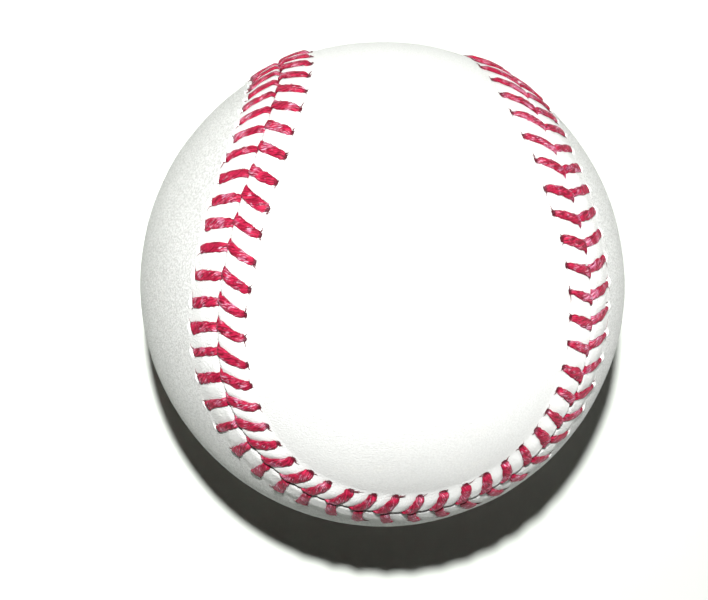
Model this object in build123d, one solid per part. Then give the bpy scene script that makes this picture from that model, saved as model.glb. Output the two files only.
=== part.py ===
from build123d import *
from bisect import bisect
from math import cos, pi, sin, sqrt
import os

# Pill, in millimetres from the middle outwards
cork_d = 20.6
black_rubber_t = 4.0
washer_t = 0.8
red_rubber_t = 2.4

# Yarn windings and the cement that holds the cover
first_wool_t = 14.3
second_wool_t = 1.75
third_wool_t = 2.25
cotton_t = 0.5
cement_t = 0.08
layer_gap = 0.02

# Leather panels: the seam stands up in a welt
leather_t = 1.27
welt_h = 0.3
welt_side_w = 0.9
overrun = 1.0

# Waxed thread
thread_d = 0.8
play = 0.06
bend_r = 0.5

# Stitch rows: holes lie off the seam, and each arm leans ahead to where it dives
row_count = 108
hole_offset = 5.2
lead_a = 2.4
lead_b = 1.1
hole_phase_share = 0.375

# Seam outline on a unit ball: strength of its third and fifth waves
seam_bend_share = 0.284
seam_square_share = 0.033
seam_steps = 20 * row_count
curve_points = 48
pole_tilt = 45

# Radii that follow from the layers
cork_r = cork_d / 2
black_r = cork_r + layer_gap + black_rubber_t
pill_r = black_r + layer_gap + red_rubber_t
first_wool_r = pill_r + layer_gap + first_wool_t
second_wool_r = first_wool_r + layer_gap + second_wool_t
third_wool_r = second_wool_r + layer_gap + third_wool_t
cotton_r = third_wool_r + layer_gap + cotton_t
cement_r = cotton_r + layer_gap + cement_t
cover_inner_r = cement_r + layer_gap
cover_r = cover_inner_r + leather_t
welt_r = cover_r + welt_h

# Seats of the thread: a straight run lies lower at its middle than the round of the ball
run_sag = (hole_offset**2 + lead_a**2) / (8 * cover_r)
seat_d = thread_d + 2 * play
channel_r = cover_inner_r + seat_d + run_sag
channel_w = 2 * hole_offset + seat_d + 2 * play
welt_w = channel_w + 2 * welt_side_w
arm_r = welt_r + seat_d / 2 + run_sag
link_r = cover_inner_r + seat_d / 2 + run_sag


def seam_direction(turn):
    """Unit vector from the middle of the ball to its seam."""
    round_share = 1 - seam_bend_share
    x = round_share * cos(turn) - seam_bend_share * cos(3 * turn) + seam_square_share * cos(5 * turn)
    y = 2 * sqrt(round_share * seam_bend_share) * cos(2 * turn)
    z = round_share * sin(turn) + seam_bend_share * sin(3 * turn) + seam_square_share * sin(5 * turn)
    return Vector(x, y, z).normalized()


def seam_travel():
    """Distance along the seam of a unit ball, summed up at even turns."""
    points = [seam_direction(2 * pi * step / seam_steps) for step in range(seam_steps + 1)]
    distances = [0]
    for start, end in zip(points, points[1:]):
        distances.append(distances[-1] + (end - start).length)
    return distances


travel = seam_travel()
row_pitch = travel[-1] * cover_r / row_count


def seam_frame(row):
    """Outward and sideways directions at a place on the seam, counted in rows."""
    target = travel[-1] * (row % row_count) / row_count
    step = min(bisect(travel, target), seam_steps) - 1
    part_share = (target - travel[step]) / (travel[step + 1] - travel[step])
    turn_step = 2 * pi / seam_steps
    turn = (step + part_share) * turn_step
    out = seam_direction(turn)
    along = (seam_direction(turn + turn_step) - seam_direction(turn - turn_step)).normalized()
    return out, out.cross(along)


def cover_direction(row, across):
    """Outward direction at a distance across the seam, positive towards panel B."""
    out, side = seam_frame(row)
    angle = across / cover_r
    return out * cos(angle) + side * sin(angle)


def seam_curve(across, radius):
    """Closed curve that keeps its distance from the seam."""
    marks = range(curve_points + 1)
    points = [cover_direction(row_count * mark / curve_points, across) * radius for mark in marks[:-1]]
    return Edge.make_spline(points, periodic=True, parameters=marks)


def seam_ring(width, low_r, high_r):
    """Ring along the whole seam, with walls that point at the middle of the ball."""
    half_w = width / 2
    corners = [(-half_w, high_r), (half_w, high_r), (half_w, low_r), (-half_w, low_r)]
    curves = [seam_curve(across, radius) for across, radius in corners]
    pairs = zip(curves, curves[1:] + curves[:1])
    return Solid(Shell([Face.make_surface_from_curves(one, other) for one, other in pairs]))


def ball(radius):
    """Solid ball about the origin."""
    return Solid.make_sphere(radius, angle1=-90)


def ball_layer(inner_r, outer_r):
    """Closed spherical layer."""
    return ball(outer_r) - ball(inner_r)


def cover_layer(inner_r, outer_r):
    """Closed spherical layer with its poles on the seam, clear of the panels."""
    return Rot(0, pole_tilt, 0) * ball_layer(inner_r, outer_r)


def half_shell(side):
    """Black rubber half shell above or below the washer."""
    reach = black_r + overrun
    keep = Pos(0, 0, side * (washer_t / 2 + layer_gap + reach)) * Box(2 * reach, 2 * reach, 2 * reach)
    return ball_layer(cork_r + layer_gap, black_r) & keep


def pill_washer():
    """Flat rubber ring between the half shells, cut to the round of the pill."""
    return ball_layer(cork_r + layer_gap, black_r) & Cylinder(black_r + overrun, washer_t)


def hole_row(row):
    """Seam place of a row's two holes."""
    return row + hole_phase_share


def punches():
    """Cutters for the stitch holes of panel A."""
    cutters = []
    for row in range(row_count):
        out = cover_direction(hole_row(row), -hole_offset)
        seat = Plane(origin=out * cover_r, z_dir=out)
        cutters.append(seat * Cylinder(seat_d / 2, 2 * (leather_t + welt_h)))
    return cutters


def leather_panel():
    """Panel A, with its lobes at the top and bottom of the ball."""
    low_r = cover_inner_r - overrun
    high_r = welt_r + overrun
    welt = seam_ring(welt_w, low_r, high_r) & cover_layer(cover_r - leather_t / 2, welt_r)
    channel = seam_ring(channel_w, low_r, high_r) & cover_layer(pill_r, channel_r)
    slit = seam_ring(seat_d, low_r, high_r)
    cover = cover_layer(cover_inner_r, cover_r) + welt - channel - punches() - slit
    return max(cover.solids(), key=lambda solid: solid.bounding_box().size.Z)


def thread_corners(first_side):
    """Corners of a thread: up a hole, over the leather, down the seam and below to the next row."""
    corners = []
    side = first_side
    for row in range(row_count):
        lead = lead_a if side < 0 else lead_b
        hole = cover_direction(hole_row(row), side * hole_offset)
        dive = cover_direction(hole_row(row) + lead / row_pitch, 0)
        corners += [hole * link_r, hole * arm_r, dive * arm_r, dive * link_r]
        side = -side
    return corners


def rounded_path(corners):
    """Straight runs joined by tangent arcs."""
    edges = []
    start = corners[0]
    for before, corner, after in zip(corners, corners[1:], corners[2:]):
        coming = (corner - before).normalized()
        going = (after - corner).normalized()
        half_sin = (going - coming).length / 2
        half_cos = sqrt(1 - half_sin**2)
        arc_start = corner - coming * (bend_r * half_sin / half_cos)
        arc_end = corner + going * (bend_r * half_sin / half_cos)
        arc_middle = corner + (going - coming).normalized() * (bend_r / half_cos - bend_r)
        edges.append(Edge.make_line(start, arc_start))
        edges.append(Edge.make_three_point_arc(arc_start, arc_middle, arc_end))
        start = arc_end
    edges.append(Edge.make_line(start, corners[-1]))
    return Wire(edges)


def thread(first_side):
    """One thread, from its first hole to where it ends in the seam."""
    path = rounded_path(thread_corners(first_side))
    section = Plane(origin=path @ 0, z_dir=path % 0) * Circle(thread_d / 2)
    return sweep(section, path=path)


panel_a = leather_panel()
panel_b = Rot(0, 90, 0) * mirror(panel_a, about=Plane.XZ)
nodes = {
    "cork_core": ball(cork_r),
    "black_shell_upper": half_shell(1),
    "black_shell_lower": half_shell(-1),
    "pill_washer": pill_washer(),
    "red_rubber_skin": ball_layer(black_r + layer_gap, pill_r),
    "first_wool_winding": ball_layer(pill_r + layer_gap, first_wool_r),
    "second_wool_winding": ball_layer(first_wool_r + layer_gap, second_wool_r),
    "third_wool_winding": ball_layer(second_wool_r + layer_gap, third_wool_r),
    "cotton_winding": ball_layer(third_wool_r + layer_gap, cotton_r),
    "cement_coat": ball_layer(cotton_r + layer_gap, cement_r),
    "cover_panel_a": panel_a,
    "cover_panel_b": panel_b,
    "lacing_thread_a": thread(-1),
    "lacing_thread_b": thread(1),
}

os.makedirs("parts", exist_ok=True)
for name, shape in nodes.items():
    export_step(shape, f"parts/{name}.step")
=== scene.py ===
import math

import bmesh
import bpy
import numpy as np
from mathutils import Matrix, Vector
from mathutils.geometry import delaunay_2d_cdt


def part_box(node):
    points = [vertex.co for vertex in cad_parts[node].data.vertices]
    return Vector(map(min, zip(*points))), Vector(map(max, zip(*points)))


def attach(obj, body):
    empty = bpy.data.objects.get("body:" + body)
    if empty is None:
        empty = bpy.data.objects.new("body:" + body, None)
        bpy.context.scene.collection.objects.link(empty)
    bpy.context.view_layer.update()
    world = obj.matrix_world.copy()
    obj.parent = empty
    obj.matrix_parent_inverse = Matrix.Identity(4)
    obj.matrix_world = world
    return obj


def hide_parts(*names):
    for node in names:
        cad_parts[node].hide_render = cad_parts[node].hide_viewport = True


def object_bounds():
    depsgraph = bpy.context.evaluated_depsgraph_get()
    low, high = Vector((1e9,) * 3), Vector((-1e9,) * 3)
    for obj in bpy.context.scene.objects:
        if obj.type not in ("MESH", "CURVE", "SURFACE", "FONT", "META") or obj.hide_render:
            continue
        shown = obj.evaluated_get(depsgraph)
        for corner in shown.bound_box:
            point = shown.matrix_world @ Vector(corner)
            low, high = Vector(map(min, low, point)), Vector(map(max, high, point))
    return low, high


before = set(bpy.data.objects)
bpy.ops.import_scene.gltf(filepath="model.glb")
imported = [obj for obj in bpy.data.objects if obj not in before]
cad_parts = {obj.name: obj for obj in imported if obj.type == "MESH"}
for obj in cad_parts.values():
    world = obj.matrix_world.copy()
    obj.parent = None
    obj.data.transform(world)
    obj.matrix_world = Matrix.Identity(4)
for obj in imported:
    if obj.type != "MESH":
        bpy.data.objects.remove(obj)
cad_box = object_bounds()

MM = 0.001


def top_of(node):
    """Height of a node's top over the middle of the ball, in millimetres."""
    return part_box(node)[1].z / MM


# Layers of the frame, in millimetres from the middle of the ball
ball_r = top_of("cover_panel_a")
cement_r = top_of("cement_coat")

# Photograph, in pixels, and the camera that took it, turned in degrees and some ball radii away
photo_w = 708
photo_h = 600
photo_focal = 1727
ball_pixel = (382.6, 283.9)
shadow_pixel = (388, 325)
camera_turn = (0, 7.86, -1.7)
camera_far_share = 7.2
sensor_w = 36
clip_start = 10

# Lights, in ball radii, degrees, millimetres and watts: a soft box beside the camera, a low strip that
# lifts the ball's right side, and a floor that glows far from the ball
light_far_share = 8.7
light_w = 12.5
light_side = 1.5
light_power = 2.4
strip_far_share = 20
strip_turn = -8
strip_l = 300
strip_w = 12
strip_gap = 1
strip_power = 2.5
backdrop = (0.80, 0.82, 0.78, 1)
glow_starts = 120
glow_full = 600
glow_strength = 0.85

# Seam outline on a unit ball, and its stitch rows, with their holes off the seam in millimetres
seam_bend_share = 0.284
seam_square_share = 0.033
row_count = 108
hole_phase_share = 0.375
hole_offset = 5.2
seam_shift = -0.35
seam_steps = 80 * row_count

# Uneven hand work along the seam, in rows: where the rows drift apart and close up again, where the seam
# leans, and the middle and half length of each stretch of longer, waxier, thinner or blunter arms; the waxier
# stretch also carries more painted sheen
wide_rows = (12, 36)
close_rows = (53, 107)
lean_rows = (45, 53)
lean_end_rows = (62, 72)
lean_w = 0.5
long_row = 2
long_rows = 6.5
waxy_row = 9
waxy_rows = 7
waxy_least_share = 0.2
thin_row = 15
thin_rows = 4
thin_foot_share = 0.25
thin_lead_share = 1.1
blunt_row = 28
blunt_rows = 8
blunt_share = 0.2
blunt_lip_share = 0.7

# Unevenness from stitch to stitch, in millimetres or as shares
shift_spread = 0.09
reach_spread = 0.1
lead_spread_share = 0.07
width_spread_share = 0.06
height_spread_share = 0.08
foot_shares = (0.8, 1.3)
tip_shares = (0.85, 1.15)
tip_end_share = 0.55
sway = 0.05
width_sway_share = 0.06

# Leather, in millimetres: a welt beside the seam that rolls down into it
leather_gap = 0.03
ridge_foot = 5.8
ridge_top = 2.6
roll_w = 1.05
edge_h = -0.42
edge_gap = 0.04
dive_gap = 0.2
pinch_share = 0.55
pinch_w = 0.95
parting_w = 0.4
wave_h = 0.018

# Stitch holes, in millimetres past the end of their arm
press_ends = (-0.2, 0.5)
hole_start = -0.35
hole_depth = 0.85
hole_wall_w = 0.28
lip_along = 0.65
lip_w = 0.25
# Painted shade in each stitch hole, fading out between these distances past the arm's end
hole_shade_ends = (0.05, 0.3)
# The hole's outer wall is painted paler from here: clean stretched leather, and partly a painted highlight
# where the wall faces the light
white_starts = (0.1, 0.3)
# Strength of the painted shade in the holes and in the seam's slit, and the slit's width
hole_shade_share = 0.6
slit_shade_share = 0.4
slit_shade_w = 0.35

# Leather mesh: a band of rows beside the seam, a lobe inside it and a lining below
band_w = 8.6
before_holes = 0.7
past_holes = 1.3
roll_count = 10
roll_crowding = 1.5
ridge_count = 16
hole_count = 17
field_count = 6
field_starts = -0.5
field_full = 1.5
columns_per_row = 20
coarse_step = 4
lobe_gap = 0.8
lobe_spacing = 1.1
nearest_step = 0.1
edge_t = 0.2
channel_h = 0.55
channel_past = 0.5
lining_past = 1.2
lining_spacing = 2.6

# Thread, in millimetres
link_w = 1.0
link_t = 0.44
link_shares = (0.3, 0.6, 0.85)
link_turn = 0.5
link_rise = 0.18
link_drop = 0.06
link_past = 0.3
lift_share = 0.42
arm_shares = (0.04, 0.12, 0.24, 0.38, 0.52, 0.66, 0.78, 0.88)
near_hole_share = 0.12
slant_end_share = 0.62
section_points = 18
wide_power = 0.85
flat_power = 0.8
path_steps = 3
twist = 0.1

# Ends of a stitch's arm. Rising: distance past its end, height and share of its width.
# Diving: distance from the seam, height, shares of its width and thickness, and painted shade where it goes
# into the seam.
rise_ends = ((0.12, -0.5, 0.6), (0.06, -0.12, 0.76))
dive_ends = ((0.34, 0.16, 1, 0.8, 0), (0.1, -0.12, 1, 0.7, 0), (0, -0.5, 0.9, 0.7, 0.5))

# Ridges of the plies: depth as a share, number around the thread and turn for each millimetre
ply_ridges = ((0.05, 4, 0.9), (0.03, 7, -0.5))

# Loose fibres: least and most of each size, in millimetres or as shares
fibre_points = 4
fray_counts = (6, 11)
fray_steps = 5
fray_spread = 0.6
fray_bend = 1.4
fray_lengths = (0.15, 0.6)
fray_gap = 0.05
fray_lift = 0.05
fray_arch_h = 0.12
fray_arch_turn = 2.2
fray_radii = (0.06, 0.13)
fray_taper_share = 0.85
fuzz_counts = (12, 20)
fuzz_steps = 4
fuzz_places = (0.04, 0.97)
fuzz_lengths = (0.3, 0.95)
fuzz_edge_share = 0.44
fuzz_spread_shares = (-0.1, 0.4)
fuzz_bend = 1.5
fuzz_end_shares = (-0.3, 0.7)
fuzz_least_across = 0.35
fuzz_heights = (0.06, 0.2)
fuzz_lift = 0.12
fuzz_radii = (0.025, 0.05)
fuzz_taper_share = 0.3
fuzz_runs = 90
# Share of wax and its painted sheen on the loose fibres
fuzz_lap = 0.5

# Wound yarn
yarn_level = 7
lining_level = 4
groove_share = 0.25
winding_seed = 60

# Leather finish: colours, and sizes of its grain in millimetres
leather_light = (0.625, 0.63, 0.616, 1)
leather_dull = (0.585, 0.595, 0.58, 1)
leather_stain = (0.68, 0.66, 0.58, 1)
# Painted shade in the hollows of the pebble grain
leather_pit_shade = (0.5, 0.49, 0.46, 1)
leather_pore = (0.42, 0.425, 0.41, 1)
# Paler hole walls: clean leather and partly a painted highlight
leather_rim_pale_and_highlight = (0.84, 0.84, 0.82, 1)
# Painted shade in the stitch holes, in the seam's slit and over the lining
leather_crease_shade = (0.16, 0.13, 0.12, 1)
warp_size = 1.5
warp_reach = 0.35
fine_size = 0.3
cloud_size = 9.0
stain_size = 4.0

# Thread finish: colours, size of its patches of worn wax and painted sheen, and depth of its fibres
red_shade = (0.09, 0.001, 0.009, 1)
red_light = (0.47, 0.014, 0.058, 1)
# Lavender wax film and pale wax streaks: real wax, partly a painted sheen and painted highlights
wax_film_and_sheen_tint = (0.46, 0.16, 0.29, 1)
wax_tint = (0.70, 0.42, 0.54, 1)
stray_tint = (0.20, 0.06, 0.07, 1)
# Painted shade where the thread goes into its holes, runs under the leather and dives into the seam, partly
# dirt
hole_shade_tint = (0.03, 0.004, 0.008, 1)
sheen_tint = (1.0, 0.6, 0.75, 1)
patch_size = 1.5
fibre_depth = 0.11

# Yarn finish, in millimetres
fleck_size = 0.5
fleck_depth = 0.08

# Floor, in millimetres
floor_half = 3000
floor_patch_size = 60.0
floor_dull = (0.645, 0.68, 0.63, 1)
floor_light = (0.665, 0.70, 0.65, 1)

SIDE_A = -1
SIDE_B = 1


def smooth(low, high, value):
    """Soft step from 0 at low to 1 at high."""
    share = np.clip((value - low) / (high - low), 0, 1)
    return share * share * (3 - 2 * share)


def unit(vectors):
    """The same vectors with a length of one."""
    return vectors / np.linalg.norm(vectors, axis=-1, keepdims=True)


def seam_direction(turn):
    """Unit vectors from the middle of the ball to its seam."""
    round_share = 1 - seam_bend_share
    x = round_share * np.cos(turn) - seam_bend_share * np.cos(3 * turn) + seam_square_share * np.cos(5 * turn)
    y = 2 * math.sqrt(round_share * seam_bend_share) * np.cos(2 * turn)
    z = round_share * np.sin(turn) + seam_bend_share * np.sin(3 * turn) + seam_square_share * np.sin(5 * turn)
    return unit(np.stack((x, y, z), axis=-1))


seam_turns = np.linspace(0, 2 * math.pi, seam_steps + 1)
seam_runs = np.linalg.norm(np.diff(seam_direction(seam_turns), axis=0), axis=1)
seam_travel = np.concatenate(([0], np.cumsum(seam_runs)))
row_pitch = seam_travel[-1] * ball_r / row_count


def seam_frame(row):
    """Outward, forward and sideways directions at places on the seam, counted in rows."""
    turn = np.interp(np.mod(row, row_count) / row_count * seam_travel[-1], seam_travel, seam_turns)
    out = seam_direction(turn)
    along = unit(seam_direction(turn + seam_turns[1]) - seam_direction(turn - seam_turns[1]))
    return out, along, np.cross(out, along)


def lean(row):
    """Where the seam leans away from its ideal line, from 0 to 1."""
    place = np.mod(row, row_count)
    return smooth(*lean_rows, place) * (1 - smooth(*lean_end_rows, place))


def cover_point(row, across, height):
    """Places at a distance across the seam, positive towards panel B, and a height over the ball's round."""
    out, _, side = seam_frame(row)
    angle = (np.asarray(across) + seam_shift + lean_w * lean(row))[..., None] / ball_r
    return (out * np.cos(angle) + side * np.sin(angle)) * (ball_r + np.asarray(height))[..., None]


def row_drift(row):
    """How far the stitching runs ahead of even rows: it was pulled wider on one stretch than on the rest."""
    place = np.mod(row, row_count)
    return smooth(*wide_rows, place) - smooth(*close_rows, place)


def stretch(apart, half):
    """How much rows belong to a stretch of the seam, by how far they are from its middle."""
    return np.exp(-((apart / half) ** 2))


class Arms:
    """The stitches' arms on one side of the seam, with the unevenness of hand work."""

    def __init__(self, sign, seed, reach, longer, fan, lead, arch, curl, thick, widths, slim, thin,
                 ridge_h, hole_along, open_w, draw_in, lip_h, rim_pale_and_highlight_share, thread_hole_shade):
        draw = np.random.default_rng(seed)
        rows = np.arange(row_count)
        half_seam = row_count / 2
        early = stretch(np.mod(rows - long_row + half_seam, row_count) - half_seam, long_rows)
        waxy = stretch(rows - waxy_row, waxy_rows)
        late = stretch(rows - thin_row, thin_rows)
        blunt = stretch(rows - blunt_row, blunt_rows)
        slow = slim * np.sin(4 * math.pi * (rows / row_count - 1 / 4))
        self.sign = sign
        self.ridge_h = ridge_h
        self.hole_along = hole_along
        self.open_w = open_w
        self.draw_in = draw_in
        self.rim_pale_and_highlight_share = rim_pale_and_highlight_share
        self.thick = thick
        self.arch = arch
        self.thread_hole_shade = thread_hole_shade
        self.widths = widths
        self.shift = draw.normal(0, shift_spread, row_count)
        self.reach = reach + longer * early + draw.normal(0, reach_spread, row_count)
        if sign == SIDE_B:
            self.reach = self.reach - lean_w * lean(rows)
        self.lead_share = draw.normal(1, lead_spread_share, row_count)
        # The waxier stretch also gets more painted sheen
        self.wax_share = waxy_least_share + (1 - waxy_least_share) * waxy
        self.lead = lead + thin_lead_share * curl * late
        self.curl = curl * (1 - late)
        self.width_share = draw.normal(1, width_spread_share, row_count) + slow
        self.height_share = draw.normal(1, height_spread_share, row_count)
        self.lip_h = lip_h * (1 - blunt_lip_share * blunt)
        bluntness = blunt_share * blunt
        self.foot_share = draw.uniform(*foot_shares, row_count) + bluntness + thin_foot_share * late
        self.tip_share = draw.uniform(*tip_shares, row_count) + bluntness + slow - thin * late + fan * early

    def hole_row(self, row):
        """Seam place of a row's hole."""
        return row + hole_phase_share + row_drift(row) + self.shift[row % row_count] / row_pitch

    def ahead(self, row, share):
        """How far the arm's middle is ahead of its hole, from share 0 there to 1 at the seam."""
        bow = share * (1 + self.arch * (1 - share))
        number = row % row_count
        return (self.lead[number] * bow + self.curl[number] * share**3) * self.lead_share[number]

    def slope(self, row, share):
        """How fast the arm moves ahead per millimetre towards the seam."""
        number = row % row_count
        bow = 1 + self.arch * (1 - 2 * share)
        return (self.lead[number] * bow + 3 * self.curl[number] * share**2) / hole_offset

    def width(self, row, share):
        """Width of the arm from its hole to the seam."""
        shares = np.linspace(0, 1, len(self.widths))
        tip = 1 + (self.tip_share[row % row_count] - 1) * (1 - smooth(0, tip_end_share, share))
        return np.interp(share, shares, self.widths) * self.width_share[row % row_count] * tip


sides = {
    SIDE_A: Arms(
        SIDE_A, seed=3, reach=hole_offset + seam_shift, longer=1.0, fan=0, lead=1.3, arch=0, curl=0.65,
        thick=0.58, widths=(1.0, 1.32, 1.5, 1.58, 1.5, 1.2), slim=0.04, thin=0.08, ridge_h=0.66,
        hole_along=0.28, open_w=0.15, draw_in=0, lip_h=0.06, rim_pale_and_highlight_share=0.3, thread_hole_shade=0.6,
    ),
    SIDE_B: Arms(
        SIDE_B, seed=8, reach=hole_offset, longer=0, fan=0.3, lead=1.05, arch=0.6, curl=0,
        thick=0.46, widths=(1.3, 1.42, 1.45, 1.4, 1.3, 1.2), slim=0.03, thin=0.55, ridge_h=0.44,
        hole_along=0.48, open_w=0.42, draw_in=0.2, lip_h=0.4, rim_pale_and_highlight_share=1, thread_hole_shade=0.4,
    ),
}

wave_count = 7
wave_lengths = (9, 26)
wave_draw = np.random.default_rng(21)
wave_ways = unit(wave_draw.normal(size=(wave_count, 3)))
wave_ways = wave_ways * (2 * math.pi / wave_draw.uniform(*wave_lengths, (wave_count, 1)))
wave_starts = wave_draw.uniform(0, 2 * math.pi, wave_count)


def waviness(directions):
    """Slow unevenness of the leather over the windings."""
    return wave_h * np.sin(directions @ wave_ways.T * ball_r + wave_starts).sum(axis=-1)


def near_arms(arms, row, across):
    """How much the arms press the leather, how deep it is in a hole, how high the hole's outer lip is, how
    much painted shade falls in the hole and how much paler the hole's outer wall is painted, as clean leather
    and partly as a painted highlight."""
    first = np.floor(row - row_drift(row) - hole_phase_share).astype(int)
    press = np.zeros_like(across)
    hole = np.zeros_like(across)
    lip = np.zeros_like(across)
    dark = np.zeros_like(across)
    white = np.zeros_like(across)
    for step in (-1, 0, 1):
        number = first + step
        reach = arms.reach[number % row_count]
        share = np.clip(1 - across / reach, 0, 1)
        from_hole = (row - arms.hole_row(number)) * row_pitch
        from_arm = (from_hole - arms.ahead(number, share)) / np.hypot(1, arms.slope(number, share))
        beyond = across - reach
        fade = 1 - smooth(*press_ends, beyond)
        press = np.maximum(press, np.exp(-((from_arm / pinch_w) ** 2)) * fade)
        wall_end = arms.open_w + hole_wall_w
        begun = np.exp(-((from_hole / arms.hole_along) ** 4)) * smooth(hole_start, 0, beyond)
        hole = np.maximum(hole, begun * (1 - smooth(arms.open_w, wall_end, beyond)))
        dark = np.maximum(dark, begun * (1 - smooth(*hole_shade_ends, beyond)))
        beside = np.exp(-((from_hole / lip_along) ** 2))
        crest = beside * np.exp(-(((beyond - wall_end) / lip_w) ** 2)) * smooth(0, wall_end, beyond)
        lip = np.maximum(lip, arms.lip_h[number % row_count] * crest)
        # Outer wall painted paler, partly a painted highlight
        wall = smooth(*white_starts, beyond) * (1 - smooth(wall_end, wall_end + lip_w, beyond))
        white = np.maximum(white, beside * wall)
    return press, hole, lip, dark, white


def leather_height(arms, row, across):
    """Height of the leather over the ball's round, at a distance from the seam on one side."""
    press, hole, lip, _, _ = near_arms(arms, row, across)
    top = arms.ridge_h * (1 - smooth(ridge_top, ridge_foot, across)) * (1 - pinch_share * press)
    roll = 1 - np.sqrt(1 - np.clip((roll_w - across) / (roll_w - edge_gap), 0, 1) ** 2)
    return top + (edge_h - top) * roll - hole_depth * hole + lip


def new_piece(name, points, faces, attributes=None):
    """Smooth mesh object from points in millimetres."""
    mesh = bpy.data.meshes.new(name)
    mesh.from_pydata((np.asarray(points) * MM).tolist(), [], faces)
    for key, values in (attributes or {}).items():
        mesh.attributes.new(key, "FLOAT", "POINT").data.foreach_set("value", np.asarray(values, np.float32))
    work = bmesh.new()
    work.from_mesh(mesh)
    bmesh.ops.recalc_face_normals(work, faces=work.faces)
    work.to_mesh(mesh)
    work.free()
    mesh.polygons.foreach_set("use_smooth", np.ones(len(mesh.polygons), bool))
    piece = bpy.data.objects.new(name, mesh)
    bpy.context.scene.collection.objects.link(piece)
    return piece


def dress(piece, node, finish):
    """Puts a piece in the place of a frame node, with its finish."""
    piece.data.materials.append(finish)
    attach(piece, "root")
    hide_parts(node)


def ring_faces(lower, upper):
    """Quads between two closed rings of as many points."""
    return np.stack((lower, np.roll(lower, -1), np.roll(upper, -1), upper), axis=1).tolist()


def step_faces(fine, coarse):
    """Faces from a closed ring to one with fewer points."""
    faces = []
    for number, start in enumerate(coarse):
        first = number * coarse_step
        run = [fine[(first + step) % len(fine)] for step in range(coarse_step + 1)]
        faces.append([int(point) for point in run] + [int(coarse[(number + 1) % len(coarse)]), int(start)])
    return faces


def lobe_directions(sign, spacing, margin):
    """Evenly spread directions on one panel, clear of the seam by a margin."""
    count = int(4 * math.pi * ball_r**2 / (spacing**2 * math.sqrt(3) / 2))
    index = np.arange(count) + 0.5
    height = 1 - 2 * index / count
    turn = index * math.pi * (3 - math.sqrt(5))
    spread = np.sqrt(1 - height**2)
    found = np.stack((spread * np.cos(turn), spread * np.sin(turn), height), axis=-1)
    rows = np.arange(0, row_count, nearest_step)
    out, _, side = seam_frame(rows)
    nearness = found @ out.T
    nearest = nearness.argmax(axis=1)
    apart = np.arccos(np.clip(nearness.max(axis=1), -1, 1)) * ball_r
    apart = apart - sign * (seam_shift + lean_w * lean(rows[nearest]))
    keep = (np.einsum("ij,ij->i", found, side[nearest]) * sign > 0) & (apart > margin)
    return found[keep]


def fill_ring(sign, ring, inside):
    """Triangles that close a ring of directions over one panel, through points inside it."""
    directions = np.concatenate((unit(ring), inside))
    flat = directions[:, (0, 2)] / (1 - sign * directions[:, 1])[:, None]
    edges = [(number, (number + 1) % len(ring)) for number in range(len(ring))]
    _, _, faces, sources, _, _ = delaunay_2d_cdt([Vector(point) for point in flat], edges, [], 1, 1e-9)
    return [[sources[corner][0] for corner in face] for face in faces]


class Builder:
    """Collects points and faces of one mesh."""

    def __init__(self):
        self.points = []
        self.faces = []
        self.marks = []
        self.count = 0

    def add(self, points, marks):
        """Adds points, and returns their numbers."""
        self.points.append(points)
        self.marks.append(marks)
        numbers = np.arange(self.count, self.count + len(points))
        self.count += len(points)
        return numbers

    def close(self, sign, ring, ring_points, inside_points):
        """Fills a ring with a triangle mesh over one panel."""
        inside = self.add(inside_points, even_marks((0, 0, 1), len(inside_points)))
        numbers = np.concatenate((ring, inside))
        faces = fill_ring(sign, ring_points, unit(inside_points))
        self.faces += [[int(numbers[corner]) for corner in face] for face in faces]


def band_steps():
    """Distances from the seam of the leather's rows of points, closest where the shape bends most."""
    holes_start = hole_offset - before_holes
    holes_end = hole_offset + past_holes
    return np.concatenate((
        edge_gap + np.linspace(0, 1, roll_count)[:-1] ** roll_crowding * (roll_w - edge_gap),
        np.linspace(roll_w, holes_start, ridge_count)[:-1],
        np.linspace(holes_start, holes_end, hole_count)[:-1],
        np.linspace(holes_end, band_w, field_count),
    ))


def even_marks(marks, count):
    """The same marks for so many points: painted crease shade, paint of the hole rims (paler leather and
    partly a painted highlight) and field.
    """
    return np.tile(marks, (count, 1))


def add_band(builder, arms):
    """Rings of points along the seam, from the leather's edge to past the holes."""
    columns = np.arange(row_count * columns_per_row) / columns_per_row
    rings = []
    for across in band_steps():
        press, _, _, dark, white = near_arms(arms, columns, np.full_like(columns, across))
        parted = across + dive_gap * press * math.exp(-across / parting_w)
        height = leather_height(arms, columns, parted)
        points = cover_point(columns, arms.sign * parted, height)
        points = points * (1 + waviness(unit(points)) / ball_r)[:, None]
        # Painted shade in the seam's slit and in the stitch holes
        slit = 1 - smooth(edge_gap, slit_shade_w, across)
        crease_shade = np.clip(hole_shade_share * dark + slit_shade_share * slit, 0, 1)
        field = np.full_like(columns, smooth(hole_offset + field_starts, hole_offset + field_full, across))
        rings.append(builder.add(points, np.stack((crease_shade, arms.rim_pale_and_highlight_share * white, field), axis=1)))
    for lower, upper in zip(rings, rings[1:]):
        builder.faces += ring_faces(lower, upper)
    return rings


def add_lobe(builder, sign, coarse, band_ring):
    """Smooth field of the panel inside its band."""
    ring_across = band_w + lobe_gap
    ring = cover_point(coarse, np.full_like(coarse, sign * ring_across), np.zeros_like(coarse))
    ring = ring * (1 + waviness(unit(ring)) / ball_r)[:, None]
    numbers = builder.add(ring, even_marks((0, 0, 1), len(coarse)))
    builder.faces += step_faces(band_ring, numbers)
    inside = lobe_directions(sign, lobe_spacing, ring_across + lobe_spacing / 2)
    builder.close(sign, numbers, ring, inside * (ball_r + waviness(inside))[:, None])


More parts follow.
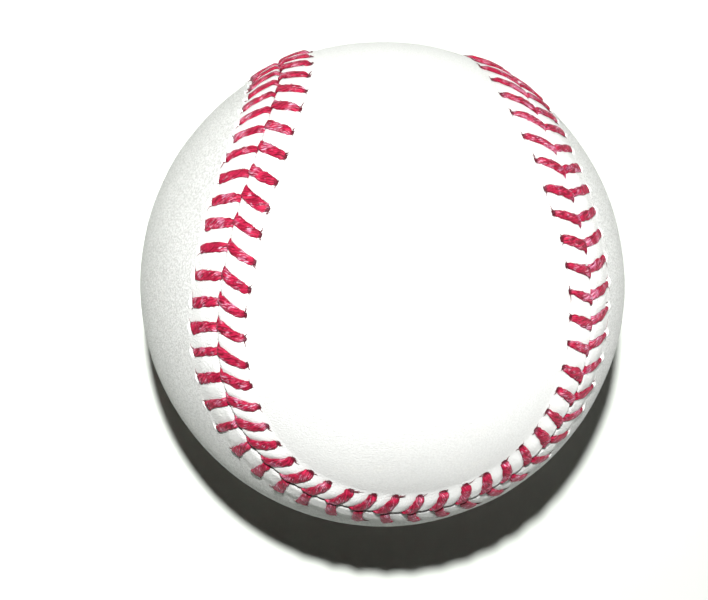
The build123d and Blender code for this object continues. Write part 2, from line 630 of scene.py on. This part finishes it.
def add_lining(builder, sign, coarse, edge_ring):
    """Flesh side of the panel, with a channel for the thread below the seam, painted all over with the crease
    shade.
    """
    inner_h = cement_r + leather_gap - ball_r
    channel_across = hole_offset + channel_past
    lining_across = hole_offset + lining_past
    steps = ((edge_gap, edge_h - edge_t), (channel_across, inner_h + channel_h), (lining_across, inner_h))
    lining = []
    for across, height in steps:
        ring = cover_point(coarse, np.full_like(coarse, sign * across), np.full_like(coarse, height))
        lining.append((builder.add(ring, even_marks((1, 0, 1), len(coarse))), ring))
    builder.faces += step_faces(edge_ring, lining[0][0])
    for (lower, _), (upper, _) in zip(lining, lining[1:]):
        builder.faces += ring_faces(lower, upper)
    inside = lobe_directions(sign, lining_spacing, lining_across + lining_spacing / 2)
    builder.close(sign, *lining[-1], inside * (ball_r + inner_h))


def leather_panel(name, sign):
    """One figure-eight panel: the stitched band along the seam, the lobes and the lining."""
    builder = Builder()
    coarse = np.arange(row_count * columns_per_row)[::coarse_step] / columns_per_row
    rings = add_band(builder, sides[sign])
    add_lobe(builder, sign, coarse, rings[-1])
    add_lining(builder, sign, coarse, rings[0])
    marks = np.concatenate(builder.marks)
    return new_piece(name, np.concatenate(builder.points), builder.faces,
                     {"crease_shade": marks[:, 0], "rim": marks[:, 1], "field": marks[:, 2]})


def smooth_path(points, values, steps):
    """Values along a smooth line through points, with a few steps from each point to the next."""
    gaps = np.linalg.norm(np.diff(points, axis=0), axis=1)[:, None]
    rates = np.diff(values, axis=0) / gaps
    inner = (rates[:-1] * gaps[1:] + rates[1:] * gaps[:-1]) / (gaps[:-1] + gaps[1:])
    slopes = np.concatenate((rates[:1], inner, rates[-1:]))
    found = []
    for step in range(steps):
        t = step / steps
        start = (1 + 2 * t) * (1 - t) ** 2 * values[:-1] + t * (1 - t) ** 2 * gaps * slopes[:-1]
        end = t * t * (3 - 2 * t) * values[1:] + t * t * (t - 1) * gaps * slopes[1:]
        found.append(start + end)
    mixed = np.stack(found, axis=1).reshape(-1, values.shape[1])
    return np.concatenate((mixed, values[-1:]))


def over_stations(arms, row, draw):
    """The arm of a stitch, over the leather from its hole to near the seam."""
    shares = np.array(arm_shares)
    across = (arms.reach[row] - arms.draw_in) * (1 - shares)
    rows = arms.hole_row(row) + arms.ahead(row, shares) / row_pitch
    height = leather_height(arms, rows, across) + arms.thick * lift_share * arms.height_share[row]
    thick = np.full_like(shares, arms.thick)
    # Painted shade on the arm next to its hole
    hole_shade = (1 - smooth(0, near_hole_share, shares)) * arms.thread_hole_shade
    slant = arms.slope(row, shares) * (1 - smooth(slant_end_share, 1, shares))
    # Wax with its painted sheen, growing towards the seam
    wear = shares * arms.wax_share[row]
    rows = rows + draw.normal(0, sway, len(shares)) / row_pitch
    width = arms.width(row, shares) * draw.normal(1, width_sway_share, len(shares))
    return np.stack((rows, across, height, width, thick, hole_shade, slant, wear), axis=1)


def arm_stations(arms, row, draw):
    """One stitch: up a hole, over the leather and down the seam. Each line holds seam place, distance from
    the seam, height, width, thickness, painted shade near the hole and the seam, slant of the band, and
    amount of wax with its painted sheen."""
    reach = arms.reach[row]
    end = reach - arms.draw_in
    hole_row = arms.hole_row(row)
    hole_w = arms.width(row, 0)
    low_h = cement_r + leather_gap + link_t / 2 - ball_r
    rise = [
        (hole_row, reach - link_turn, low_h, link_w, link_t, 1, 0, 0),
        (hole_row, reach, low_h + link_rise, link_w, link_t, 1, 0, 0),
    ]
    for past, height, width_share in rise_ends:
        rise.append((hole_row, end + past, height, width_share * hole_w, arms.thick, 1, 0, 0))
    seam_row = hole_row + arms.ahead(row, 1) / row_pitch
    seam_w = arms.width(row, 1) * arms.foot_share[row]
    wear = arms.wax_share[row]
    dive = []
    for across, height, width_share, thick_share, dark in dive_ends:
        dive.append((seam_row, across, height, width_share * seam_w, thick_share * arms.thick, dark, 0, wear))
    dive.append((seam_row, -link_past, low_h + link_drop, link_w, link_t, 1, 0, wear))
    stations = np.concatenate((rise, over_stations(arms, row, draw), dive))
    stations[:, 1] *= arms.sign
    stations[:, 6] *= arms.sign
    return stations


def link_stations(before, after):
    """Run below the leather from one stitch to the next."""
    return before + (after - before) * np.array(link_shares)[:, None]


def row_arms(first_sign, row):
    """The arms that a thread takes at a row: it changes side at each."""
    return sides[first_sign * (1 - 2 * (row % 2))]


def thread_stations(first_sign, draw):
    """All the stitches of one thread, and its runs between them."""
    stitches = [arm_stations(row_arms(first_sign, row), row, draw) for row in range(row_count)]
    lines = [stitches[0]]
    for before, after in zip(stitches, stitches[1:]):
        lines += [link_stations(before[-1], after[0]), after]
    return np.concatenate(lines)


def fray(arms, row, draw):
    """Stray fibres that spread from a stitch hole over the leather."""
    points = []
    shares = np.linspace(0, 1, fray_steps)
    for _ in range(draw.integers(*fray_counts)):
        start_x = draw.uniform(-0.5, 0.5) * arms.width(row, 0)
        drift = draw.normal(0, fray_spread)
        length = draw.uniform(*fray_lengths)
        rows = arms.hole_row(row) + (start_x + drift * shares**fray_bend) / row_pitch
        across = arms.reach[row] + fray_gap + length * shares
        arch = draw.uniform(0, fray_arch_h) * np.sin(shares * fray_arch_turn)
        height = leather_height(arms, rows, across) + fray_lift + arch
        radius = draw.uniform(*fray_radii) * (1 - fray_taper_share * shares)
        points.append((cover_point(rows, arms.sign * across, height), radius))
    return points


def fuzz(arms, row, draw):
    """Short loose fibres along both edges of a stitch's arm."""
    points = []
    shares = np.linspace(0, 1, fuzz_steps)
    for _ in range(draw.integers(*fuzz_counts)):
        place = draw.uniform(*fuzz_places)
        slope = arms.slope(row, place)
        edge = draw.choice((-1, 1))
        length = draw.uniform(*fuzz_lengths) * draw.choice((-1, 1))
        bend = abs(length) * draw.uniform(*fuzz_spread_shares) * shares**fuzz_bend
        spread = edge * (fuzz_edge_share * arms.width(row, place) + bend)
        forward = length * np.linspace(*fuzz_end_shares, fuzz_steps)
        longer = math.hypot(1, slope)
        ahead = arms.ahead(row, place) + (forward * slope + spread) / longer
        across = arms.reach[row] * (1 - place) + (spread * slope - forward) / longer
        rows = arms.hole_row(row) + ahead / row_pitch
        height = leather_height(arms, rows, np.maximum(across, fuzz_least_across))
        height = height + draw.uniform(*fuzz_heights)
        height = height + draw.uniform(0, fuzz_lift) * shares
        radius = draw.uniform(*fuzz_radii) * np.linspace(1, fuzz_taper_share, fuzz_steps)
        points.append((cover_point(rows, arms.sign * across, height), radius))
    return points


def add_tube(builder, centres, ways, section, marks):
    """Closed tube whose section is given along its wide way and across it."""
    tangents = unit(np.gradient(centres, axis=0))
    wide = unit(ways - np.einsum("ij,ij->i", ways, tangents)[:, None] * tangents)
    flat = np.cross(tangents, wide)
    points = centres[:, None, :] + wide[:, None, :] * section[0][..., None]
    points = points + flat[:, None, :] * section[1][..., None]
    numbers = builder.add(points.reshape(-1, 3), marks).reshape(len(centres), -1)
    for lower, upper in zip(numbers, numbers[1:]):
        builder.faces += ring_faces(lower, upper)
    builder.faces.append([int(corner) for corner in numbers[0][::-1]])
    builder.faces.append([int(corner) for corner in numbers[-1]])


def add_fibre(builder, centres, radius, marks):
    """Fine tapered fibre."""
    angle = np.linspace(0, 2 * math.pi, fibre_points, endpoint=False)
    ways = np.broadcast_to(np.cross(unit(centres[0]), centres[-1] - centres[0]), centres.shape)
    section = (radius[:, None] * np.cos(angle), radius[:, None] * np.sin(angle))
    add_tube(builder, centres, ways, section, np.tile(marks, (len(centres) * fibre_points, 1)))


def rounded(value, power):
    """A cosine or sine with its sign kept, for a section between a circle and a box."""
    return np.sign(value) * np.abs(value) ** power


def add_cord(builder, stations):
    """The thread itself: a flat band with plies that twist along it."""
    points = cover_point(stations[:, 0], stations[:, 1], stations[:, 2])
    _, along, side = seam_frame(stations[:, 0])
    ways = unit(along + side * stations[:, 6:7])
    values = np.concatenate((points, ways, stations[:, (3, 4, 5, 7)]), axis=1)
    path = smooth_path(points, values, path_steps)
    centres = path[:, :3]
    width, thick, hole_shade, wear = path[:, 6:].T
    run = np.concatenate(([0], np.cumsum(np.linalg.norm(np.diff(centres, axis=0), axis=1))))
    angle = np.linspace(0, 2 * math.pi, section_points, endpoint=False)
    ply = np.ones((len(run), section_points))
    for depth, count, turn in ply_ridges:
        ply = ply + depth * np.cos(count * angle + run[:, None] * turn)
    wide = width[:, None] / 2 * rounded(np.cos(angle), wide_power)
    flat = thick[:, None] / 2 * rounded(np.sin(angle), flat_power) * ply
    marks = np.stack((
        np.repeat(run, section_points),
        np.tile(angle / (2 * math.pi), len(run)),
        np.repeat(hole_shade, section_points),
        np.zeros(len(run) * section_points),
        np.repeat(wear, section_points),
    ), axis=1)
    add_tube(builder, centres, path[:, 3:6], (wide, flat), marks)


def lacing_thread(name, first_sign, seed):
    """One waxed thread through half of the rows' arms on each panel, with its loose fibres."""
    draw = np.random.default_rng(seed)
    builder = Builder()
    add_cord(builder, thread_stations(first_sign, draw))
    for row in range(row_count):
        arms = row_arms(first_sign, row)
        for centres, radius in fray(arms, row, draw):
            # Fray fibres carry the hole's painted shade
            add_fibre(builder, centres, radius, (0, 0, arms.thread_hole_shade, 1, 0))
        for centres, radius in fuzz(arms, row, draw):
            marks = (draw.uniform(0, fuzz_runs), draw.uniform(0, 1), 0, 0, fuzz_lap)
            add_fibre(builder, centres, radius, marks)
    marks = np.concatenate(builder.marks)
    keys = ("run", "turn", "hole", "stray", "lap")
    return new_piece(name, np.concatenate(builder.points), builder.faces,
                     {key: marks[:, number] for number, key in enumerate(keys)})


def icosphere(level):
    """Directions and triangles of an even ball."""
    work = bmesh.new()
    bmesh.ops.create_icosphere(work, subdivisions=level, radius=1)
    points = np.array([corner.co for corner in work.verts])
    faces = [[corner.index for corner in face.verts] for face in work.faces]
    work.free()
    return unit(points), faces


def winding(name, inner_r, outer_r, yarn_d, strands, passes, seed):
    """Shell of yarn wound on in passes along great circles, each a few strands wide."""
    draw = np.random.default_rng(seed)
    directions, faces = icosphere(yarn_level)
    crown = np.zeros(len(directions))
    for way in unit(draw.normal(size=(passes, 3))):
        place = directions @ way * outer_r / yarn_d + strands / 2
        inside = (place > 0) & (place < strands)
        crown[inside] = np.sqrt(1 - (2 * (place[inside] % 1) - 1) ** 2)
    outer = directions * (outer_r - groove_share * yarn_d * (1 - crown))[:, None]
    lining, lining_faces = icosphere(lining_level)
    faces = faces + [[corner + len(outer) for corner in face[::-1]] for face in lining_faces]
    crowns = np.concatenate((crown, np.ones(len(lining))))
    return new_piece(name, np.concatenate((outer, lining * inner_r)), faces, {"crown": crowns})


def new_node(tree, kind, inputs=None, **settings):
    """Shader node with its settings, and its inputs linked or set."""
    made = tree.nodes.new(kind)
    for key, value in settings.items():
        setattr(made, key, value)
    for key, value in (inputs or {}).items():
        if isinstance(value, bpy.types.NodeSocket):
            tree.links.new(value, made.inputs[key])
        else:
            made.inputs[key].default_value = value
    return made


def new_finish(name, roughness, specular):
    """Principled material, with its node tree and shader."""
    made = bpy.data.materials.new(name)
    made.use_nodes = True
    shader = made.node_tree.nodes["Principled BSDF"]
    shader.inputs["Roughness"].default_value = roughness
    shader.inputs["Specular IOR Level"].default_value = specular
    return made, made.node_tree, shader


def object_place(tree):
    """Place on the object, in metres."""
    return new_node(tree, "ShaderNodeTexCoord").outputs["Object"]


def noise(tree, place, size, detail=3.0, rough=0.5):
    """Cloudy noise with features of a size in millimetres."""
    inputs = {"Vector": place, "Scale": 1 / (size * MM), "Detail": detail, "Roughness": rough}
    return new_node(tree, "ShaderNodeTexNoise", inputs).outputs["Fac"]


def fibre_noise(tree, run, turn, along, around):
    """Streaks that run with a thread, so many a millimetre along it and a turn around it."""
    twisted = math_node(tree, "ADD", turn, scaled(tree, run, twist))
    spread = {"X": scaled(tree, run, along), "Y": scaled(tree, twisted, around)}
    place = new_node(tree, "ShaderNodeCombineXYZ", spread).outputs[0]
    inputs = {"Vector": place, "Scale": 1.0, "Detail": 2.0}
    return new_node(tree, "ShaderNodeTexNoise", inputs).outputs["Fac"]


def attribute(tree, name):
    """Values that the mesh carries at its points."""
    return new_node(tree, "ShaderNodeAttribute", attribute_name=name).outputs["Fac"]


def ramp(tree, value, low, high):
    """Soft step of a value from 0 at low to 1 at high."""
    inputs = {"Value": value, "From Min": low, "From Max": high}
    return new_node(tree, "ShaderNodeMapRange", inputs, interpolation_type="SMOOTHSTEP").outputs["Result"]


def mix(tree, share, one, other, way="MIX"):
    """Colour between two others."""
    made = new_node(tree, "ShaderNodeMix", data_type="RGBA", blend_type=way)
    for socket, value in ((made.inputs[0], share), (made.inputs[6], one), (made.inputs[7], other)):
        if isinstance(value, bpy.types.NodeSocket):
            tree.links.new(value, socket)
        else:
            socket.default_value = value
    return made.outputs[2]


def math_node(tree, way, one, other):
    """Sum, product or other combination of two values."""
    made = new_node(tree, "ShaderNodeMath", operation=way)
    for socket, value in zip(made.inputs, (one, other)):
        if isinstance(value, bpy.types.NodeSocket):
            tree.links.new(value, socket)
        else:
            socket.default_value = value
    return made.outputs[0]


def scaled(tree, value, share):
    """A value times a number or another value."""
    return math_node(tree, "MULTIPLY", value, share)


def bump(tree, height, depth, strength=1.0, normal=None):
    """Fine relief of a depth in millimetres."""
    inputs = {"Height": height, "Distance": depth * MM, "Strength": strength}
    if normal is not None:
        inputs["Normal"] = normal
    return new_node(tree, "ShaderNodeBump", inputs).outputs["Normal"]


def leather_finish(name, grain, grain_depth, fine_depth, pore_share):
    """White alum-tanned leather with a fine pebble grain, painted shade in the grain's hollows, the stitch
    holes, the seam's slit and the lining, and hole walls painted paler, partly as a painted highlight.
    """
    made, tree, shader = new_finish(name, 0.5, 0.28)
    shader.inputs["Diffuse Roughness"].default_value = 0.14
    place = object_place(tree)
    inputs = {"Vector": place, "Scale": 1 / (warp_size * MM), "Detail": 2.0}
    warp = new_node(tree, "ShaderNodeTexNoise", inputs)
    shifted = new_node(tree, "ShaderNodeVectorMath", {0: warp.outputs["Color"]}, operation="SCALE")
    shifted.inputs["Scale"].default_value = warp_reach * MM
    moved = new_node(tree, "ShaderNodeVectorMath", {0: place, 1: shifted.outputs[0]}, operation="ADD")
    cells = new_node(tree, "ShaderNodeTexVoronoi", {"Vector": moved.outputs[0], "Scale": 1 / (grain * MM)},
                     feature="DISTANCE_TO_EDGE").outputs["Distance"]
    pebble = ramp(tree, cells, 0.0, 0.28)
    fine = noise(tree, place, fine_size, 3.0, 0.65)
    cloud = noise(tree, place, cloud_size, 3.0)
    stain = ramp(tree, noise(tree, place, stain_size, 4.0, 0.6), 0.55, 0.8)
    # Painted shade in the grain's hollows, where its relief is low
    pit_shade = math_node(tree, "SUBTRACT", 1.0, pebble)
    pores = scaled(tree, ramp(tree, fine, 0.42, 0.6), attribute(tree, "field"))
    white = mix(tree, cloud, leather_light, leather_dull)
    white = mix(tree, scaled(tree, stain, 0.25), white, leather_stain)
    white = mix(tree, scaled(tree, pit_shade, 0.18), white, leather_pit_shade)
    white = mix(tree, scaled(tree, pores, pore_share), white, leather_pore)
    # Hole walls painted paler: clean leather and partly a painted highlight
    white = mix(tree, scaled(tree, attribute(tree, "rim"), 0.7), white, leather_rim_pale_and_highlight)
    # Painted shade in the stitch holes, the seam's slit and over the lining
    white = mix(tree, scaled(tree, attribute(tree, "crease_shade"), 0.75), white, leather_crease_shade)
    tree.links.new(white, shader.inputs["Base Color"])
    rough = math_node(tree, "ADD", scaled(tree, fine, 0.2), 0.42)
    tree.links.new(rough, shader.inputs["Roughness"])
    relief = bump(tree, pebble, grain_depth, 0.8)
    tree.links.new(bump(tree, fine, fine_depth, 0.8, relief), shader.inputs["Normal"])
    return made


def thread_finish():
    """Waxed crimson thread with fibres along it, wax on top that is partly a painted sheen and painted
    highlights, and painted shade at its holes.
    """
    made, tree, shader = new_finish("waxed_red_thread", 0.55, 0.12)
    shader.inputs["Sheen Weight"].default_value = 0.07
    shader.inputs["Sheen Roughness"].default_value = 0.35
    shader.inputs["Sheen Tint"].default_value = sheen_tint
    run = attribute(tree, "run")
    turn = attribute(tree, "turn")
    # The lap mark carries the wax with its painted sheen
    lap = attribute(tree, "lap")
    plies = fibre_noise(tree, run, turn, 0.7, 16.0)
    fibres = fibre_noise(tree, run, turn, 1.6, 60.0)
    streak = math_node(tree, "ADD", scaled(tree, plies, 0.55), scaled(tree, fibres, 0.45))
    tone = math_node(tree, "SUBTRACT", streak, scaled(tree, lap, 0.03))
    patches = noise(tree, object_place(tree), patch_size, 3.0, 0.6)
    # Wax film and streaks: real wax, partly a painted sheen and painted highlights, stronger towards the seam
    # and on the waxier stretch
    worn_and_glint = ramp(tree, patches, 0.46, 0.62)
    rubbed_and_sheen = ramp(tree, math_node(tree, "ADD", patches, scaled(tree, lap, 0.16)), 0.54, 0.7)
    film_and_sheen = scaled(tree, rubbed_and_sheen, ramp(tree, fibre_noise(tree, run, turn, 0.5, 9.0), 0.42, 0.62))
    wax = scaled(tree, worn_and_glint, ramp(tree, fibre_noise(tree, run, turn, 0.9, 34.0), 0.5, 0.66))
    red = mix(tree, ramp(tree, tone, 0.36, 0.66), red_shade, red_light)
    red = mix(tree, scaled(tree, film_and_sheen, 0.5), red, wax_film_and_sheen_tint)
    red = mix(tree, scaled(tree, wax, 0.85), red, wax_tint)
    red = mix(tree, attribute(tree, "stray"), red, stray_tint)
    # Painted shade at the holes, under the leather and in the seam, partly dirt
    red = mix(tree, scaled(tree, attribute(tree, "hole"), 0.85), red, hole_shade_tint)
    tree.links.new(red, shader.inputs["Base Color"])
    rough = math_node(tree, "SUBTRACT", 0.6, scaled(tree, wax, 0.25))
    tree.links.new(rough, shader.inputs["Roughness"])
    tree.links.new(bump(tree, streak, fibre_depth, 0.9), shader.inputs["Normal"])
    return made


def yarn_finish(name, dark, pale):
    """Wool or cotton yarn, with painted shade between its strands."""
    made, tree, shader = new_finish(name, 0.9, 0.15)
    fleck = noise(tree, object_place(tree), fleck_size, 4.0, 0.7)
    colour = mix(tree, ramp(tree, fleck, 0.3, 0.7), dark, pale)
    crown = ramp(tree, attribute(tree, "crown"), 0.1, 0.8)
    shade = scaled(tree, math_node(tree, "SUBTRACT", 1.0, crown), 0.7)
    colour = mix(tree, shade, colour, tuple(0.25 * part for part in dark[:3]) + (1,))
    tree.links.new(colour, shader.inputs["Base Color"])
    shader.inputs["Sheen Weight"].default_value = 0.25
    tree.links.new(bump(tree, fleck, fleck_depth, 0.7), shader.inputs["Normal"])
    return made


def solid_finish(name, dark, pale, grain, roughness, specular, depth):
    """Cork, rubber or cement: two tones in grains of a size in millimetres."""
    made, tree, shader = new_finish(name, roughness, specular)
    place = object_place(tree)
    grains = new_node(tree, "ShaderNodeTexVoronoi", {"Vector": place, "Scale": 1 / (grain * MM)})
    fine = noise(tree, place, grain / 4, 4.0, 0.6)
    tone = scaled(tree, grains.outputs["Distance"], fine)
    tree.links.new(mix(tree, ramp(tree, tone, 0.1, 0.45), dark, pale), shader.inputs["Base Color"])
    rough = math_node(tree, "ADD", scaled(tree, fine, 0.2), roughness - 0.1)
    tree.links.new(rough, shader.inputs["Roughness"])
    tree.links.new(bump(tree, tone, depth, 0.8), shader.inputs["Normal"])
    return made


def repaint(node, finish):
    """Gives a frame node that keeps its shape a better material."""
    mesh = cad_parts[node].data
    mesh.materials.clear()
    mesh.materials.append(finish)


def camera_axes():
    """Rotation that turns the camera's right, up and back ways into the frame."""
    turn = Vector(camera_turn)
    return Matrix.Rotation(math.radians(turn.length), 3, turn.normalized()).transposed()


def add_camera():
    """Camera of the photograph, looking down at the ball on the floor."""
    lens = bpy.data.cameras.new("camera")
    lens.sensor_width = sensor_w
    lens.lens = photo_focal / photo_w * sensor_w
    lens.shift_x = (photo_w / 2 - ball_pixel[0]) / photo_w
    lens.shift_y = (ball_pixel[1] - photo_h / 2) / photo_w
    lens.clip_start = clip_start * MM
    camera = bpy.data.objects.new("camera", lens)
    axes = camera_axes()
    place = axes @ Vector((0, 0, camera_far_share * ball_r * MM))
    camera.matrix_world = Matrix.Translation(place) @ axes.to_4x4()
    bpy.context.scene.collection.objects.link(camera)
    bpy.context.scene.camera = camera


def floor_finish():
    """Plain pale floor with a faint unevenness, which glows with painted light far from the ball."""
    made, tree, shader = new_finish("pale_floor", 0.8, 0.2)
    place = object_place(tree)
    tone = noise(tree, place, floor_patch_size)
    tree.links.new(mix(tree, tone, floor_dull, floor_light), shader.inputs["Base Color"])
    far = new_node(tree, "ShaderNodeVectorMath", {0: place}, operation="LENGTH").outputs["Value"]
    # Painted light: the floor glows far from the ball, though it is no lamp
    glow = scaled(tree, ramp(tree, far, glow_starts * MM, glow_full * MM), glow_strength)
    shader.inputs["Emission Color"].default_value = backdrop
    tree.links.new(glow, shader.inputs["Emission Strength"])
    return made


def add_floor():
    """Floor under the ball."""
    mesh = bpy.data.meshes.new("floor")
    half = floor_half * MM
    corners = [(-half, -half, 0), (half, -half, 0), (half, half, 0), (-half, half, 0)]
    mesh.from_pydata(corners, [], [(0, 1, 2, 3)])
    floor = bpy.data.objects.new("floor", mesh)
    floor.location.z = cad_box[0].z
    mesh.materials.append(floor_finish())
    bpy.context.scene.collection.objects.link(floor)


def aim_light(lamp, place):
    """Puts a lamp at a place, facing the middle of the ball."""
    light = bpy.data.objects.new(lamp.name, lamp)
    light.matrix_world = Matrix.Translation(place) @ place.to_track_quat("Z", "Y").to_matrix().to_4x4()
    bpy.context.scene.collection.objects.link(light)
    return light


def add_light():
    """Soft box beside the camera, near the line from the shadow's middle through the ball."""
    axes = camera_axes()
    floor_far = camera_far_share + 1
    right = (shadow_pixel[0] - ball_pixel[0]) / photo_focal * floor_far
    up = (ball_pixel[1] - shadow_pixel[1]) / photo_focal * floor_far
    shadow_way = Vector((right, up, -1))
    to_right = Matrix.Rotation(math.radians(light_side), 3, "Y")
    place = axes @ to_right @ (-shadow_way.normalized() * light_far_share * ball_r * MM)
    lamp = bpy.data.lights.new("soft_box", "AREA")
    lamp.shape = "DISK"
    lamp.size = light_w * MM
    lamp.energy = light_power
    aim_light(lamp, place)


def add_strip():
    """Low strip light beside the ball, close over the floor."""
    across = camera_axes() @ Matrix.Rotation(math.radians(strip_turn), 3, "Z") @ Vector((1, 0, 0))
    place = Vector((across.x, across.y, 0)).normalized() * strip_far_share * ball_r * MM
    place.z = cad_box[0].z + (strip_gap + strip_w / 2) * MM
    lamp = bpy.data.lights.new("low_strip", "AREA")
    lamp.shape = "RECTANGLE"
    lamp.size = strip_l * MM
    lamp.size_y = strip_w * MM
    lamp.energy = strip_power
    aim_light(lamp, place).visible_camera = False


def add_world():
    """Pale backdrop beyond the floor, which gives no light."""
    world = bpy.data.worlds.new("studio")
    world.use_nodes = True
    tree = world.node_tree
    background = tree.nodes["Background"]
    background.inputs["Color"].default_value = backdrop
    seen = new_node(tree, "ShaderNodeLightPath").outputs["Is Camera Ray"]
    tree.links.new(seen, background.inputs["Strength"])
    bpy.context.scene.world = world


leather_a = leather_finish("leather_a", grain=0.4, grain_depth=0.03, fine_depth=0.09, pore_share=0.25)
leather_b = leather_finish("leather_b", grain=0.45, grain_depth=0.04, fine_depth=0.22, pore_share=0.95)
red_thread = thread_finish()
dress(leather_panel("panel_a_leather", SIDE_A), "cover_panel_a", leather_a)
dress(leather_panel("panel_b_leather", SIDE_B), "cover_panel_b", leather_b)
dress(lacing_thread("stitches_a", SIDE_A, 31), "lacing_thread_a", red_thread)
dress(lacing_thread("stitches_b", SIDE_B, 47), "lacing_thread_b", red_thread)

grey_wool = yarn_finish("grey_wool", (0.16, 0.16, 0.17, 1), (0.42, 0.42, 0.42, 1))
white_wool = yarn_finish("white_wool", (0.60, 0.57, 0.50, 1), (0.80, 0.78, 0.72, 1))
white_cotton = yarn_finish("white_cotton", (0.70, 0.68, 0.62, 1), (0.86, 0.85, 0.81, 1))
layers = (
    ("first_wool_winding", "red_rubber_skin", 1.6, 5, 70, "grey_wool", grey_wool),
    ("second_wool_winding", "first_wool_winding", 1.3, 5, 90, "white_wool", white_wool),
    ("third_wool_winding", "second_wool_winding", 1.3, 5, 90, "grey_wool", grey_wool),
    ("cotton_winding", "third_wool_winding", 0.9, 6, 120, "white_cotton", white_cotton),
)
for number, (node, below, yarn_d, strands, passes, slot, finish) in enumerate(layers):
    inner_r = top_of(below) + leather_gap
    piece = winding(node + "_yarn", inner_r, top_of(node), yarn_d, strands, passes, winding_seed + number)
    dress(piece, node, finish)

cork = solid_finish("cork", (0.20, 0.10, 0.045, 1), (0.50, 0.31, 0.16, 1),
                    grain=1.2, roughness=0.8, specular=0.2, depth=0.12)
black_rubber = solid_finish("black_rubber", (0.012, 0.012, 0.013, 1), (0.03, 0.03, 0.032, 1),
                            grain=0.6, roughness=0.6, specular=0.35, depth=0.03)
red_rubber = solid_finish("red_rubber", (0.26, 0.025, 0.02, 1), (0.38, 0.05, 0.04, 1),
                          grain=0.6, roughness=0.6, specular=0.35, depth=0.03)
cement = solid_finish("cement", (0.52, 0.40, 0.20, 1), (0.68, 0.56, 0.34, 1),
                      grain=2.0, roughness=0.35, specular=0.5, depth=0.05)
repaint("cork_core", cork)
repaint("black_shell_upper", black_rubber)
repaint("black_shell_lower", black_rubber)
repaint("pill_washer", red_rubber)
repaint("red_rubber_skin", red_rubber)
repaint("cement_coat", cement)

add_floor()
add_light()
add_strip()
add_world()
add_camera()
bpy.context.scene.view_settings.view_transform = "Standard"
